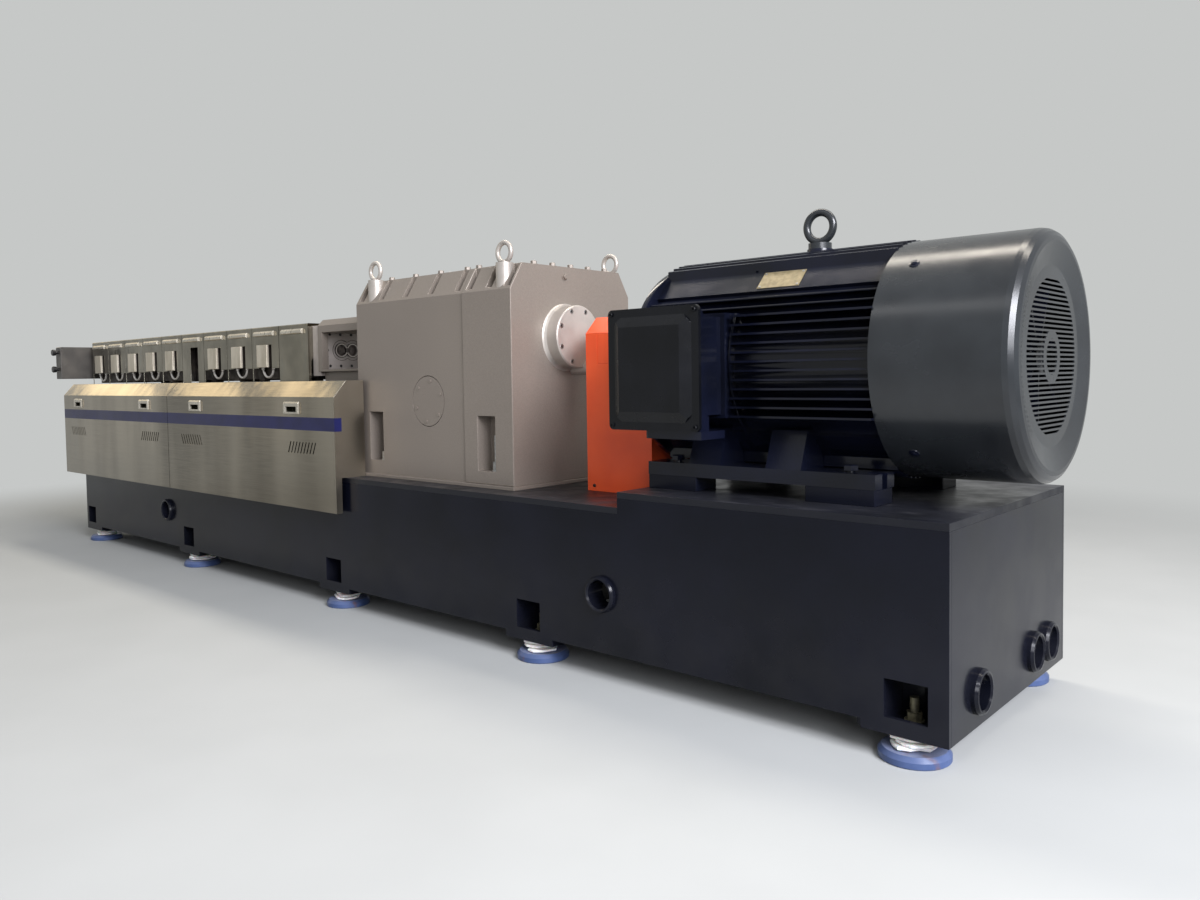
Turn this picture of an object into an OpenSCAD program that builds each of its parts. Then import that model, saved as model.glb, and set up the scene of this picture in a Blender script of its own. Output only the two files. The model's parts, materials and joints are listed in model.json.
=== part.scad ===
// Twin-screw plastic extruder on its welded base, lengths in mm, +Z up.
// Inner frame: X 0 at the base's motor end, Y 0 on the machine axis, Z 0 on the floor.
// The near side faces -Y and the motor end faces +X; placed() centres the whole.

/* [Base] */
// length of the welded base
base_len = 5540; // [5500:10:5600]
// near side plate's outer face from the machine axis
base_near = 440; // [430:5:450]
// far side plate's outer face from the machine axis
base_far = 500; // [490:5:520]
// underside of the legs above the floor
leg_z = 69; // [60:1:80]
// underside of the side plates between the legs
belly_z = 93; // [88:1:100]
// top of the deck under the gearbox and barrels
deck_z = 572; // [560:1:580]
// top of the raised deck under the motor
motor_deck_z = 622; // [612:1:632]
// length of the raised motor deck
motor_deck_len = 1055; // [1040:5:1070]
// plate thickness of the base
base_t = 15; // [12:1:18]
// deck plate thickness
deck_t = 20; // [16:1:24]
// width of a leg
leg_w = 232; // [220:2:240]
// side window over each foot, width
window_w = 115; // [100:5:130]
// side window over each foot, height
window_h = 100; // [90:5:110]
// side window over each foot, lower edge
window_z = 112; // [108:1:118]
// bore of the pipe sleeves
sleeve_r = 46; // [40:1:50]

/* [Feet] */
// radius of the round foot pads
pad_r = 92; // [85:1:98]
// thickness of the foot pads
pad_h = 30; // [26:1:34]
// radius of the levelling studs
stud_r = 12; // [10:1:14]

/* [Gearbox] */
// end face towards the motor
gear_x1 = 1645; // [1640:1:1650]
// end face towards the barrels
gear_x0 = 2634; // [2630:1:2640]
// half width of the gearbox body
gear_half = 328; // [322:1:334]
// height where the upper chamfers start
gear_chamfer_z = 1314; // [1300:2:1330]
// top of the gearbox
gear_top = 1412; // [1404:1:1420]
// sideways run of the upper chamfers
gear_chamfer = 60; // [50:1:70]
// joint between the two gearbox sections
gear_joint_x = 1918; // [1910:1:1926]
// radius of the round side cover
side_cover_r = 100; // [92:1:108]
// radius of the thrust bearing cover
thrust_r = 120; // [112:1:128]
// height of the screw shafts and thrust bearing
screw_z = 1137; // [1130:1:1144]
// offset of each screw from the machine axis
screw_y = 32; // [30:1:33]

/* [Barrels] */
// number of barrel sections
barrel_count = 10; // [6:1:10]
// length of one barrel section
barrel_pitch = 280; // [270:2:280]
// half width of the barrel covers
cover_half = 178; // [170:1:186]
// top of the barrel covers
cover_top = 1272; // [1262:1:1282]
// lower edge of the barrel covers
cover_low = 1055; // [1045:1:1060]
// junction box width
jbox_w = 105; // [95:1:110]
// junction box height
jbox_h = 118; // [110:1:120]
// junction box face in front of the covers
jbox_d = 12; // [8:1:16]

/* [Side panels] */
// near door face from the machine axis
door_near = 490; // [480:1:500]
// far door face from the machine axis
door_far = 550; // [540:1:560]
// end of the doors at the gearbox
door_x1 = 2575; // [2570:1:2580]
// end of the doors at the die
door_x0 = 5717; // [5700:1:5730]
// joint between the two doors of a side
door_joint_x = 4191; // [4150:1:4230]
// lower edge of the doors
door_z0 = 423; // [400:1:440]
// fold where the doors lean inwards
door_fold_z = 916; // [905:1:925]
// top of the doors and the tray
tray_z = 986; // [980:1:992]
// sheet thickness of doors and covers
sheet = 3; // [2:0.5:3]

/* [Motor] */
// shaft height above the raised deck
shaft_h = 400; // [395:1:405]
// radius of the fan cowl
cowl_r = 341; // [336:1:346]
// fan cowl end beyond the base's motor end
cowl_x1 = 119; // [105:1:130]
// fan cowl's open end
cowl_x0 = 257; // [245:1:270]
// radius of the flat grille disc
grille_r = 242; // [235:1:250]
// radius of the slotted field
slot_field_r = 211; // [200:1:220]
// number of slot rows in the grille
slot_rows = 33; // [27:2:33]
// distance between side fins
fin_pitch = 27.2; // [26:0.2:28]
// number of side fins
fin_count = 12; // [10:1:12]
// reach of the side fins from the axis
fin_reach = 320; // [314:1:326]
// frame wall radius between the fins
frame_r = 293; // [286:1:300]

/* [Hidden] */
$fn = 64;
gap = 0.3;
mid = (base_far - base_near) / 2;
lid_face = 500;
lid_w = 342;
lid_h = 367;
lid_t = 12;
lid_r = 16;
lid_rise = 19;
lid_y = lid_rise - lid_face;
fan_r = 250;
barrel_x1 = 3290;
barrel_x0 = barrel_x1 + barrel_count * barrel_pitch;
die_x = barrel_x0 + 150;
x_mid = (cowl_x1 - die_x) / 2;
handle_d = 9;
cup_w = 94;
cup_h = 28;
cup_z = 848;
y_mid = (door_far + handle_d - lid_face) / 2;
foot_x = [116, 1470, 2692, 4095, base_len - 116];
window_x = [110, 1470, 2692, 4095, base_len - 85];
foot_y = 370;
side_sleeve_x = [1126, 4334];
side_sleeve_z = 286;
end_sleeve_y = [-243, 199, 338];
end_sleeve_z = 162;
sleeve_tube = sleeve_r + 8;
motor_z = motor_deck_z + shaft_h;
input_r = 28;
gear_flange_t = 14;
gear_z0 = deck_z + gear_flange_t;
input_half = gear_half + 6;
pocket_x = [1842, 2554];
notch_w = 34;
seam_w = 4;
boss_r = 33;
barrel_half = 125;
barrel_z0 = tray_z + 6;
heater_half = 112;
flange_half = 150;
flange_top = 1258;
box_x = 105;
box_slot = 30;
box_z = 1060;
loop_r = 54;
die_half = 360;
lantern_x0 = 3219;
lantern_half = 165;
lantern_z0 = 1030;
lantern_top = 1285;

module placed() translate([-x_mid, -y_mid, 0]) children();

// A block between two corners.
module block(a, b) translate(a) cube(b - a);

// The same shape on both sides of a lengthwise plane at y.
module both(y) {
  children();
  translate([0, 2 * y, 0]) mirror([0, 1, 0]) children();
}

// The same outline on both sides of the machine axis.
module both_sides() {
  children();
  mirror([1, 0]) children();
}

// A side profile drawn as x, z and filled from y0 to y1.
module side_profile(y0, y1) translate([0, y1, 0]) rotate([90, 0, 0]) linear_extrude(y1 - y0) children();

// A cross profile drawn as y, z and filled from x0 to x1.
module cross_profile(x0, x1) translate([x0, 0, 0]) rotate([90, 0, 90]) linear_extrude(x1 - x0) children();

// A turned shape whose axis runs along +X from the point.
module along_x(p) translate(p) rotate([0, 90, 0]) children();

// A turned shape whose axis runs along -Y from the point.
module along_near(p) translate(p) rotate([90, 0, 0]) children();

// Base
module side_plate_outline() {
  difference() {
    union() {
      translate([-base_len, belly_z]) square([base_len, deck_z - deck_t - belly_z]);
      translate([-motor_deck_len, belly_z]) square([motor_deck_len, motor_deck_z - deck_t - belly_z]);
      for (x = foot_x) translate([-x - leg_w / 2, leg_z]) square([leg_w, belly_z - leg_z]);
    }
    for (x = window_x) translate([-x - window_w / 2, window_z]) square([window_w, window_h]);
    for (x = side_sleeve_x) translate([-x, side_sleeve_z]) circle(sleeve_tube + gap);
  }
}

module base_side_plates() color("#191b2b") placed() both(mid)
  side_profile(-base_near, base_t - base_near) side_plate_outline();

module base_end_plates() color("#191b2b") placed() {
  difference() {
    block([-base_t, base_t - base_near, leg_z], [0, base_far - base_t, motor_deck_z - deck_t]);
    for (y = end_sleeve_y)
      along_x([-base_t - 1, y, end_sleeve_z]) cylinder(r = sleeve_tube + gap, h = base_t + 2);
  }
  block([-base_len, base_t - base_near, leg_z], [base_t - base_len, base_far - base_t, deck_z - deck_t]);
}

module base_cross_plates() color("#191b2b") placed() {
  for (x = [foot_x[1], foot_x[2], foot_x[3]])
    block([-x - leg_w / 2 - base_t, base_t - base_near, belly_z],
      [-x - leg_w / 2, base_far - base_t, deck_z - deck_t]);
}

module low_deck() color("#23242c") placed()
  block([-base_len, -base_near, deck_z - deck_t], [-motor_deck_len, base_far, deck_z]);

module motor_deck() color("#23242c") placed() {
  block([-motor_deck_len, -base_near, motor_deck_z - deck_t], [0, base_far, motor_deck_z]);
  block([-motor_deck_len, base_t - base_near, deck_z - deck_t],
    [base_t - motor_deck_len, base_far - base_t, motor_deck_z - deck_t]);
}

module foot_box(i, inset) {
  x = foot_x[i] + inset;
  xw = window_x[i];
  difference() {
    block([-x - leg_w / 2, base_t - base_near, leg_z], [-x + leg_w / 2, 130 - base_near, belly_z]);
    translate([-foot_x[i], -foot_y, leg_z - 1]) cylinder(r = stud_r + 0.6, h = belly_z - leg_z + 2);
  }
  for (s = [-1, 1])
    translate([-xw + s * (window_w / 2 + 6) - 6, base_t - base_near, belly_z]) cube([12, 103, 137]);
  translate([-xw - window_w / 2 - 12, 118 - base_near, belly_z]) cube([window_w + 24, 12, 137]);
  translate([-xw - window_w / 2 - 12, base_t - base_near, belly_z + 137]) cube([window_w + 24, 115, 12]);
}

module foot_boxes() color("#191b2b") placed() both(mid) {
  foot_box(0, base_t);
  for (i = [1, 2, 3]) foot_box(i, 0);
  foot_box(4, -base_t);
}

module sleeve(depth) rotate_extrude() polygon([[sleeve_r, -depth], [sleeve_tube, -depth], [sleeve_tube, 0],
  [sleeve_tube + 6, 0], [sleeve_tube + 6, 11], [sleeve_tube + 2, 19], [sleeve_tube - 3, 20],
  [sleeve_r, 15]]);

module pipe_sleeves() color("#15161f") placed() {
  both(mid) for (x = side_sleeve_x) along_near([-x, -base_near, side_sleeve_z]) sleeve(55);
  for (y = end_sleeve_y) along_x([0, y, end_sleeve_z]) sleeve(base_t);
}

module foot_pads() color("#3c4f86") placed() both(mid) for (x = foot_x)
  translate([-x, -foot_y, 0]) rotate_extrude() polygon([[0, 0], [pad_r - 3, 0], [pad_r, 3],
    [pad_r, 18], [pad_r - 10, pad_h], [0, pad_h]]);

module foot_studs() color("#8d8f92") placed() both(mid) for (x = foot_x)
  translate([-x, -foot_y, 0]) {
    translate([0, 0, pad_h]) cylinder(r = stud_r, h = 126);
    translate([0, 0, leg_z - 22]) cylinder(r = 21, h = 22, $fn = 6);
    translate([0, 0, belly_z]) cylinder(r = 26, h = 5);
    translate([0, 0, belly_z + 5]) cylinder(r = 21, h = 20, $fn = 6);
  }

module foam_wraps() color("#eceae4") placed() both(mid) for (x = foot_x)
  translate([-x, -foot_y, pad_h]) linear_extrude(leg_z - pad_h - 3) difference() {
    polygon([[44, 6], [58, 22], [33, 40], [9, 49], [-22, 43], [-49, 30], [-55, 2], [-38, -28],
      [-12, -52], [17, -41], [46, -30]]);
    circle(r = 22);
  }

// Gearbox
module gear_profile(half, top) polygon([[-half, gear_z0], [half, gear_z0], [half, gear_chamfer_z],
  [half - gear_chamfer, top], [gear_chamfer - half, top], [-half, gear_chamfer_z]]);

module gearbox_base_flange() color("#8c8983") placed()
  block([-gear_x0 - 8, -gear_half - 14, deck_z], [8 - gear_x1, gear_half + 14, gear_z0]);

module pocket(x0, x1, z0, z1, half) both(0) block([-x0, -half - 1, z0], [-x1, 70 - half, z1]);

// Open bolt notches cut down into the upper chamfers, listed by their edge towards the motor.
module bolt_notches(edges, half) both(0) for (x = edges)
  block([-x - notch_w, -half - 1, gear_chamfer_z + 12], [-x, 64 - half, gear_top + 1]);

module gearbox_housing() color("#8c8983") placed() difference() {
  union() {
    cross_profile(-gear_x0, -gear_joint_x - seam_w) gear_profile(gear_half, gear_top);
    cross_profile(-gear_joint_x - seam_w, -gear_joint_x) gear_profile(gear_half - 5, gear_top - 4);
  }
  pocket(pocket_x[1], pocket_x[1] - 97, 644, 851, gear_half);
  bolt_notches([2585, 2444, 2276, 2110, 1944], gear_half);
  both(0) along_near([-2147, 12 - gear_half, 898]) cylinder(r = side_cover_r + 3, h = 20);
}

module gearbox_input_section() color("#8c8983") placed() difference() {
  cross_profile(-gear_joint_x, -gear_x1) gear_profile(input_half, gear_top);
  pocket(pocket_x[0], pocket_x[0] - 100, 636, 844, input_half);
  bolt_notches([1868, 1754, gear_x1 + 10], input_half);
}

module lifting_boss(half) {
  y = boss_r + 4 - half;
  difference() {
    translate([0, y, gear_chamfer_z]) cylinder(r = boss_r, h = gear_top + 2 - gear_chamfer_z);
    cross_profile(-boss_r - 5, boss_r + 5) polygon([[-half, gear_chamfer_z - 1], [-200, gear_chamfer_z - 1],
      [-200, gear_top], [gear_chamfer - half, gear_top], [-half, gear_chamfer_z]]);
  }
  translate([0, y, gear_top + 2]) cylinder(r = 15, h = 7);
  translate([0, y, gear_top + 40]) rotate([90, 0, 0]) rotate_extrude() translate([36, 0]) circle(9);
}

module lifting_bosses() color("#9b9791") placed() both(0) {
  translate([-1712, 0, 0]) lifting_boss(input_half);
  translate([-2537, 0, 0]) lifting_boss(gear_half);
}

module gearbox_side_covers() color("#8c8983") placed() both(0) {
  along_near([-2147, 12 - gear_half, 898]) cylinder(r = side_cover_r, h = 12);
  for (a = [20 : 60 : 320])
    along_near([-2147 + 82 * cos(a), -gear_half, 898 + 82 * sin(a)]) cylinder(r = 8, h = 3);
}

module thrust_bearing_cover() color("#a3a09a") placed() along_x([-gear_x1, -45, screw_z + 3])
  difference() {
    rotate_extrude() polygon([[0, 0], [thrust_r + 10, 0], [thrust_r + 5, 5], [thrust_r, 14],
      [thrust_r, 66], [thrust_r - 4, 70], [0, 70]]);
    for (a = [22.5 : 45 : 340]) translate([102 * cos(a), 102 * sin(a), 63]) cylinder(r = 9.5, h = 8);
    translate([screw_z + 3 - motor_z, 45, -1]) cylinder(r = input_r + gap, h = 72);
  }

module foundation_bolt(x, z, half) translate([-x, 24 - half, z]) {
  cylinder(r = 8, h = 135);
  cylinder(r = 18, h = 5);
  cylinder(r = 15, h = 36, $fn = 6);
}

module foundation_bolts() color("#b8b5ae") placed() both(0) {
  foundation_bolt(pocket_x[1] - 97 + 20, 644, gear_half);
  foundation_bolt(pocket_x[0] - 100 + 20, 636, input_half);
}

// Lantern and barrels
module lantern() color("#8a8780") placed() difference() {
  cross_profile(-lantern_x0, -gear_x0) polygon([[-lantern_half, lantern_z0],
    [lantern_half, lantern_z0], [lantern_half, lantern_top - 30], [lantern_half - 30, lantern_top],
    [30 - lantern_half, lantern_top], [-lantern_half, lantern_top - 30]]);
  block([-lantern_x0 - 1, -130, 1042], [-gear_x0 - 40, 130, 1221]);
  block([-3183, -lantern_half - 1, 1042], [-2700, lantern_half + 1, 1221]);
}

module lantern_support() color("#4b4a47") placed() {
  block([-lantern_x0, -130, gear_z0 + 14], [-gear_x0 - 8, 130, lantern_z0]);
  block([-lantern_x0, -170, deck_z], [-gear_x0 - 8, 170, gear_z0 + 14]);
}

module barrel_flange() color("#8f8c86") placed() difference() {
  block([-barrel_x1, -flange_half, 1010], [-lantern_x0, flange_half, flange_top]);
  for (s = [-1, 1]) {
    along_x([-barrel_x1 - 1, s * screw_y, screw_z]) cylinder(r = screw_y + 4, h = 90);
    along_x([-lantern_x0 - 6, s * screw_y, screw_z]) cylinder(r = screw_y + 18, h = 10);
  }
}

module screw_shafts() color("#3b3a38") placed() for (s = [-1, 1])
  along_x([-barrel_x1, s * screw_y, screw_z]) {
    cylinder(r = screw_y - 3, h = 55);
    cylinder(r = 12, h = 58);
  }

module barrels() color("#33322f") placed() for (i = [0 : barrel_count - 1])
  translate([-barrel_x1 - i * barrel_pitch, 0, 0]) {
    block([-barrel_pitch + 26, -heater_half, barrel_z0 + 8], [-26, heater_half, cover_top - sheet - 10]);
    block([-26, -barrel_half, barrel_z0], [0, barrel_half, cover_top - sheet]);
    block([-barrel_pitch, -barrel_half, barrel_z0], [-barrel_pitch + 26, barrel_half, cover_top - sheet]);
  }

stand_x = [3570, 4130, 4690, 5250];
module barrel_stands() color("#33322f") placed() for (x = stand_x) {
  block([-x - 26, -100, deck_z + 20], [-x + 26, 100, tray_z - sheet]);
  block([-x - 26, -60, tray_z], [-x + 26, 60, barrel_z0]);
  block([-x - 60, -160, deck_z], [-x + 60, 160, deck_z + 20]);
}

// One folded cover with a top and two sides that reach the tray.
module cover_shell() difference() {
  polygon([[-cover_half, tray_z], [cover_half, tray_z], [cover_half, cover_top - 4],
    [cover_half - 4, cover_top], [4 - cover_half, cover_top], [-cover_half, cover_top - 4]]);
  translate([sheet - cover_half, tray_z - 1]) square([2 * (cover_half - sheet), cover_top - sheet - tray_z + 1]);
}

// A cut-out through both sides of a cover, x measured from the joint towards the die.
module side_cut(x0, x1, z0, z1) both(0)
  block([-x1, -cover_half - 1, z0], [-x0, sheet + 1 - cover_half, z1]);

// The first cover is plain, the fifth has a tall slot, the others stand on a leg beside their box.
module barrel_covers() color("#a7a39a") placed() for (i = [0 : barrel_count - 1])
  translate([-barrel_x1 - i * barrel_pitch, 0, 0]) difference() {
    cross_profile(4 - barrel_pitch, 0) cover_shell();
    if (len(search(i, box_i)) > 0) side_cut(-1, barrel_pitch - 12, tray_z - 1, cover_low);
    if (len(search(i, box_i)) > 0) side_cut(box_x - box_slot, box_x + jbox_w, cover_low - 1, box_z + jbox_h);
    if (i == 4) side_cut(box_x - box_slot, box_x + 65, tray_z - 1, box_z + jbox_h + 12);
  }

module cover_grips() color("#c9c6be") placed() both(0) for (i = [0 : barrel_count - 1])
  translate([-barrel_x1 - (i + 0.5) * barrel_pitch, 0, cover_top]) cross_profile(-100, 100)
    polygon([[-cover_half, -23], [-cover_half - 5, -23], [-cover_half - 14, -32], [-cover_half - 14, -45],
      [-cover_half - 10, -49], [-cover_half, -49]]);

// Frame at the open end of the covers, round the barrel flange.
module cover_end_plate() color("#a7a39a") placed() cross_profile(-barrel_x1, sheet - barrel_x1) difference() {
  polygon([[-cover_half, tray_z], [cover_half, tray_z], [cover_half, cover_top - 4],
    [cover_half - 4, cover_top], [4 - cover_half, cover_top], [-cover_half, cover_top - 4]]);
  both_sides() polygon([[1, tray_z - 1], [-163, tray_z - 1], [-163, 1082], [-flange_half - gap, 1107],
    [-flange_half - gap, flange_top + gap], [1, flange_top + gap]]);
}

// Every section but the first and the fifth carries a junction box.
box_i = [1, 2, 3, 5, 6, 7, 8, 9];
module junction_boxes() color("#8f8b84") placed() both(0) for (i = box_i)
  translate([-barrel_x1 - i * barrel_pitch - box_x - jbox_w + gap, 0, box_z])
    block([0, -cover_half - jbox_d, 0], [jbox_w - gap, -heater_half, jbox_h - gap]);

module cable_loops() color("#a9a6a0") placed() both(0) for (i = box_i)
  translate([-barrel_x1 - i * barrel_pitch - box_x - 31, 14 - cover_half, box_z]) {
    rotate([90, 180, 0]) rotate_extrude(angle = 180) translate([loop_r, 0]) circle(6);
    translate([loop_r, 0, 0]) cylinder(r = 6, h = 26);
    translate([loop_r, 0, 26]) rotate([-90, 0, 0]) cylinder(r = 8, h = cover_half - 14 - heater_half);
  }

module die_head() color("#3a3a3c") placed() {
  block([-die_x + 90, -118, 1040], [-barrel_x0, 118, 1232]);
  cross_profile(-die_x, 90 - die_x) difference() {
    translate([-die_half, 1024]) square([2 * die_half, 219]);
    for (y = [-die_half, die_half]) translate([y, 1243]) rotate(45) square(8, center = true);
  }
}

module die_knobs() color("#1b1b1d") placed() for (z = [1090, 1205])
  along_near([45 - die_x, -die_half, z]) rotate_extrude() polygon([[0, 0], [10, 0], [10, 14], [20, 18],
    [22, 34], [18, 40], [0, 40]]);

// Side doors and tray
module door_profile(face) polygon([[30 - face, door_z0], [-face, door_z0], [-face, door_fold_z],
  [60 - face, tray_z], [88 - face, tray_z], [88 - face, tray_z - sheet],
  [60 - face + 1.4, tray_z - sheet], [sheet - face, door_fold_z - 1.2],
  [sheet - face, door_z0 + sheet], [30 - face, door_z0 + sheet]]);

module slot_group(x0, x1, lean) for (i = [0 : 8])
  translate([-x0 + (x0 - x1) * (i + 0.5) / 9, (668 + 719) / 2])
    multmatrix([[1, lean, 0, 0], [0, 1, 0, 0], [0, 0, 1, 0], [0, 0, 0, 1]]) square([8, 50], center = true);

handle_x = [2911, 3855, 4480, 5466];
module side_doors() color("#b5b1a6") placed() both(mid) difference() {
  union() {
    cross_profile(-door_joint_x + 2, -door_x1 - sheet) door_profile(door_near);
    cross_profile(-door_x0, -door_joint_x - 2) door_profile(door_near);
  }
  side_profile(-door_near - 5, 8 - door_near) {
    slot_group(2954, 2725, 0.45);
    slot_group(4032, 3796, -0.45);
    slot_group(4539, 4307, 0.45);
    slot_group(5601, 5368, -0.45);
    for (x = handle_x) translate([-x - cup_w / 2 - gap, cup_z - gap]) square([cup_w + 2 * gap, cup_h + 2 * gap]);
  }
}

// A recessed pull: a raised frame on the door round a closed cup.
module door_handles() color("#c2beb4") placed() both(mid) for (x = handle_x)
  translate([-x, -door_near, cup_z]) difference() {
    union() {
      cross_profile(-cup_w / 2 - 15, cup_w / 2 + 15) polygon([[0, -8], [-handle_d, -6], [-handle_d, cup_h + 12],
        [-handle_d / 3, cup_h + 20], [0, cup_h + 20]]);
      block([-cup_w / 2, 0, 0], [cup_w / 2, 32, cup_h]);
    }
    block([2 - cup_w / 2, -handle_d - 1, 2], [cup_w / 2 - 2, 30, cup_h - 2]);
  }

// Closed ends of the tray: one beside the gearbox over the deck, one under the barrels at the die.
module tray_ends() color("#b5b1a6") placed() {
  both(mid) cross_profile(-door_x1 - sheet, -door_x1) polygon([[-door_near, door_z0],
    [-door_near, door_fold_z], [60 - door_near, tray_z], [-gear_half - 15, tray_z],
    [-gear_half - 15, deck_z], [-base_near, deck_z], [-base_near, door_z0 + 150],
    [30 - door_near, door_z0 + 150], [30 - door_near, door_z0]]);
  cross_profile(-door_x0 - sheet, -door_x0) polygon([[-door_near, door_z0], [-door_near, door_fold_z],
    [60 - door_near, tray_z], [door_far - 60, tray_z], [door_far, door_fold_z], [door_far, door_z0]]);
}

module tray_tops() color("#b5b1a6") placed() {
  both(mid) block([-door_x0, 88 - door_near, tray_z - sheet], [-door_x1 - sheet, -gear_half - 15, tray_z]);
  both(mid) block([-door_x0, -gear_half - 15, tray_z - sheet], [-gear_x0 - 10, -215, tray_z]);
  block([-door_x0, -215, tray_z - sheet], [-barrel_x1 - 30, 2 * mid + 215, tray_z]);
}

module tray_rails() color("#77736b") placed() both(mid) {
  block([-door_x0, 64 - door_near, tray_z - sheet - 40], [-gear_x0 - 10, 104 - door_near, tray_z - sheet]);
  for (x = [door_x1 + 175, door_joint_x, base_len - 40])
    block([-x - 20, 64 - door_near, deck_z], [-x + 20, 104 - door_near, tray_z - sheet - 40]);
}

// Coupling guard
guard_x0 = 1436;
guard_x1 = 1135;
module guard_profile(d) polygon([[d - 160, deck_z], [160 - d, deck_z], [160 - d, 1143 - d / 2],
  [100 - d / 2, 1203 - d], [d / 2 - 100, 1203 - d], [d - 160, 1143 - d / 2]]);

module coupling_guard() color("#e0562f") placed() difference() {
  cross_profile(-guard_x0, -guard_x1) guard_profile(0);
  cross_profile(sheet - guard_x0, -sheet - guard_x1) guard_profile(sheet);
  along_x([-guard_x0 - 1, 0, motor_z]) cylinder(r = 62, h = guard_x0 - guard_x1 + 2);
  side_profile(-161, 1 - 160) difference() {
    translate([55 - guard_x0, 1030]) square([guard_x0 - guard_x1 - 110, 112]);
    translate([58 - guard_x0, 1033]) square([guard_x0 - guard_x1 - 116, 106]);
  }
}

module coupling() color("#6f6e6c") placed() along_x([-gear_x1, 0, motor_z])
  rotate_extrude() polygon([[0, 0], [input_r, 0], [input_r, 240], [92, 240], [92, 330], [84, 334], [84, 346],
    [92, 350], [92, 440], [47, 440], [47, gear_x1 - 1110], [0, gear_x1 - 1110]]);

// Motor
module frame_section(near_fins) {
  circle(frame_r);
  for (i = [0 : fin_count - 1]) translate([0, (i - 5.9) * fin_pitch]) {
    translate([near_fins ? -fin_reach : 0, -3]) square([near_fins ? 2 * fin_reach : fin_reach, 6]);
  }
  intersection() {
    for (i = [-5 : 5]) translate([30 * i - 3, -350]) square([6, 700]);
    circle(346);
  }
  for (s = [-1, 1]) for (t = [-1, 1]) scale([s, t]) polygon([[150, 150], [215, 217], [150, 282]]);
}

module frame_feet() {
  for (x = [883, 604]) translate([-x, 0, 0]) cross_profile(0, 117)
    polygon([[-290, 707 - motor_z], [-248, 821 - motor_z], [-190, 830 - motor_z], [-150, 707 - motor_z]]);
  difference() {
    block([-1045, -290, 667 - motor_z], [-260, -170, 709 - motor_z]);
    block([-306, -246, 666 - motor_z], [-259, -214, 710 - motor_z]);
  }
}

module motor_frame() color("#1b1d2c") placed() translate([0, 0, motor_z]) {
  cross_profile(-705, -cowl_x0) frame_section(true);
  cross_profile(-1060, -705) frame_section(false);
  block([-1045, -325, -165], [-720, -200, 150]);
  both(0) frame_feet();
  translate([-578, 0, 285]) cylinder(r = 40, h = 67);
  cross_profile(-716, -708) difference() {
    circle(312);
    circle(280);
  }
  along_x([-1110, 0, 0]) rotate_extrude() polygon([[0, 0], [120, 0], [150, 8], [300, 30], [332, 30],
    [332, 50], [0, 50]]);
  along_x([-cowl_x0 - 1, 0, 0]) cylinder(r = cowl_r - sheet - gap, h = 15);
}

module motor_packing_blocks() color("#191b2b") placed() both(0) for (x = [1045, 474])
  block([-x, -290, motor_deck_z], [-x + (x > 1000 ? 191 : 214), -180, 667]);

module motor_eyebolt() color("#2a2b33") placed() translate([-578, 0, motor_z + 352]) {
  cylinder(r = 36, h = 19);
  translate([0, 0, 70]) rotate([90, 0, 0]) rotate_extrude() translate([45, 0]) circle(12);
}

module motor_nameplate() color("#a58f5a") placed() translate([-608, -182.5, motor_z + 249.5])
  rotate([45, 0, 0]) translate([-71.5, -36, 0]) cube([143, 72, 2]);

module terminal_box() color("#20223a") placed() {
  cross_profile(-1030, -735) polygon([[lid_y + lid_t, 826], [lid_y + lid_t, 1184],
    [-425, 1184], [-405, 1160], [-325, 1160], [-325, 868], [-395, 868], [-425, 832]]);
  block([-905, -450, 820], [-740, -380, 880]);
  translate([0, 0, 798]) linear_extrude(24) difference() {
    translate([-925, -455]) square([210, 120]);
    translate([-925, -455]) difference() {
      square(24, center = true);
      translate([12, 12]) circle(12);
    }
  }
}

// The lid's flange, and its raised middle drawn about the lid's centre in x, z.
module lid_outline(w, h, c) polygon([[c - w / 2, -h / 2], [w / 2 - c, -h / 2], [w / 2, c - h / 2], [w / 2, h / 2 - c],
  [w / 2 - c, h / 2], [c - w / 2, h / 2], [-w / 2, h / 2 - c], [-w / 2, c - h / 2]]);

module terminal_box_lid() color("#16171d") placed() translate([-874, lid_y, 1006.5]) {
  side_profile(0, lid_t) {
    square([lid_w - 2 * lid_r, lid_h], center = true);
    square([lid_w, lid_h - 2 * lid_r], center = true);
    for (x = [-1, 1]) for (z = [-1, 1])
      translate([x * (lid_w / 2 - lid_r), z * (lid_h / 2 - lid_r)]) circle(lid_r);
  }
  intersection() {
    side_profile(-lid_rise, 0) lid_outline(lid_w - 50, lid_h - 50, 26);
    cross_profile(-lid_w, lid_w) polygon([[0, 25 - lid_h / 2], [-lid_rise, 56 - lid_h / 2],
      [-lid_rise, lid_h / 2 - 56], [0, lid_h / 2 - 25]]);
    translate([0, 0, -lid_h]) linear_extrude(2 * lid_h) polygon([[25 - lid_w / 2, 0],
      [56 - lid_w / 2, -lid_rise], [lid_w / 2 - 56, -lid_rise], [lid_w / 2 - 25, 0]]);
  }
}

// Hub, back plate and straight blades behind the grille.
module cooling_fan() color("#26283a") placed() along_x([14 - cowl_x0, 0, motor_z]) {
  cylinder(r = 45, h = 320);
  translate([0, 0, 150]) cylinder(r = fan_r, h = 6);
  for (i = [0 : 6]) rotate(360 / 7 * i) translate([40, -3, 153]) cube([fan_r - 46, 6, 160]);
}

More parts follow.
